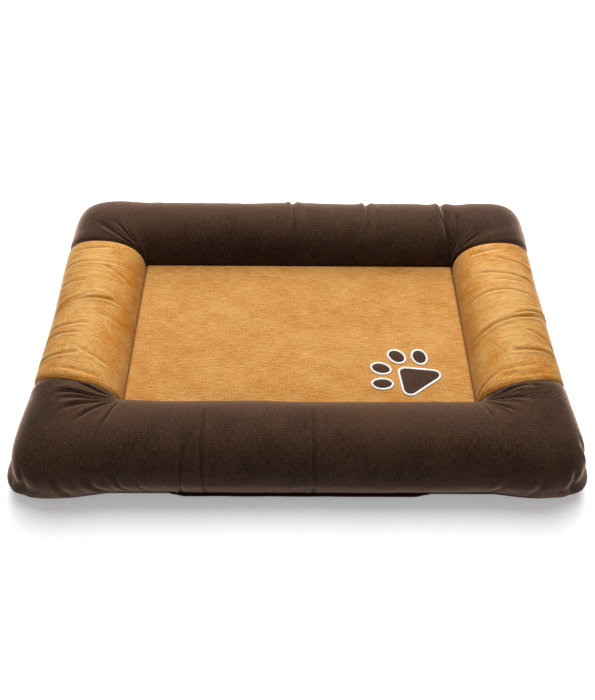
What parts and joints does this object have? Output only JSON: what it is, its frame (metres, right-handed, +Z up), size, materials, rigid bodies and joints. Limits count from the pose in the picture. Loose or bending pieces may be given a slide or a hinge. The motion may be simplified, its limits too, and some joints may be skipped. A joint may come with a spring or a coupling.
{
  "type": "pet cushion bed",
  "caption": "Rectangular stuffed pet bed with a raised two-tone bolster rim around a flat padded sleeping well, paw applique and concealed zip.",
  "frame": {"origin": "centre of the footprint, on the floor", "axes": "+X along the long side, to the right seen from the front; -Y is the front, where the zip is; +Z up"},
  "size_m": [1.05, 0.756, 0.147],
  "materials": {
    "brown_velour": "fine-ribbed matt velour, dark chocolate",
    "tan_velour": "soft matt velour, golden tan",
    "tan_panel": "flat brushed velour, golden tan",
    "base_fabric": "hard-wearing plain weave, near black brown",
    "lining": "plain woven lining",
    "wadding": "fluffy fibre filling",
    "foam": "open-cell foam",
    "brown_patch": "short-pile patch, dark chocolate",
    "satin_thread": "glossy satin stitch, off-white",
    "zip_tape": "herringbone zip tape",
    "zip_coil": "nylon coil",
    "zip_metal": "satin nickel plate"
  },
  "bodies": {
    "bed": {"front_bolster_cover": "brown_velour", "back_bolster_cover": "brown_velour", "left_bolster_cover": "tan_velour", "right_bolster_cover": "tan_velour", "sleeping_panel": "tan_panel", "base_panel": "base_fabric", "front_partition_wall": "lining", "back_partition_wall": "lining", "left_partition_wall": "lining", "right_partition_wall": "lining", "front_bolster_fill": "wadding", "back_bolster_fill": "wadding", "left_bolster_fill": "wadding", "right_bolster_fill": "wadding", "mattress_core": "foam", "paw_heel_patch": "brown_patch", "paw_toe_patch_1": "brown_patch", "paw_toe_patch_2": "brown_patch", "paw_toe_patch_3": "brown_patch", "paw_toe_patch_4": "brown_patch", "paw_heel_border": "satin_thread", "paw_toe_border_1": "satin_thread", "paw_toe_border_2": "satin_thread", "paw_toe_border_3": "satin_thread", "paw_toe_border_4": "satin_thread", "zip_flap": "brown_velour", "zip_tape_upper": "zip_tape", "zip_tape_lower": "zip_tape", "zip_coil_upper": "zip_coil", "zip_coil_lower": "zip_coil", "zip_top_stops": "zip_metal", "zip_bottom_stop": "zip_metal"},
    "slider": {"zip_slider": "zip_metal"},
    "pull_tab": {"zip_pull_tab": "zip_metal"}
  },
  "joints": [
    {"name": "zip_slide", "type": "slide", "parent": "bed", "child": "slider", "axis": [-1, 0, 0], "range_m": [0, 0.438]},
    {"name": "pull_tab_hinge", "type": "hinge", "parent": "slider", "child": "pull_tab", "pos_m": [0.219, -0.3549, 0.0125], "axis": [0, 0, 1], "range_deg": [0, 180]}
  ]
}
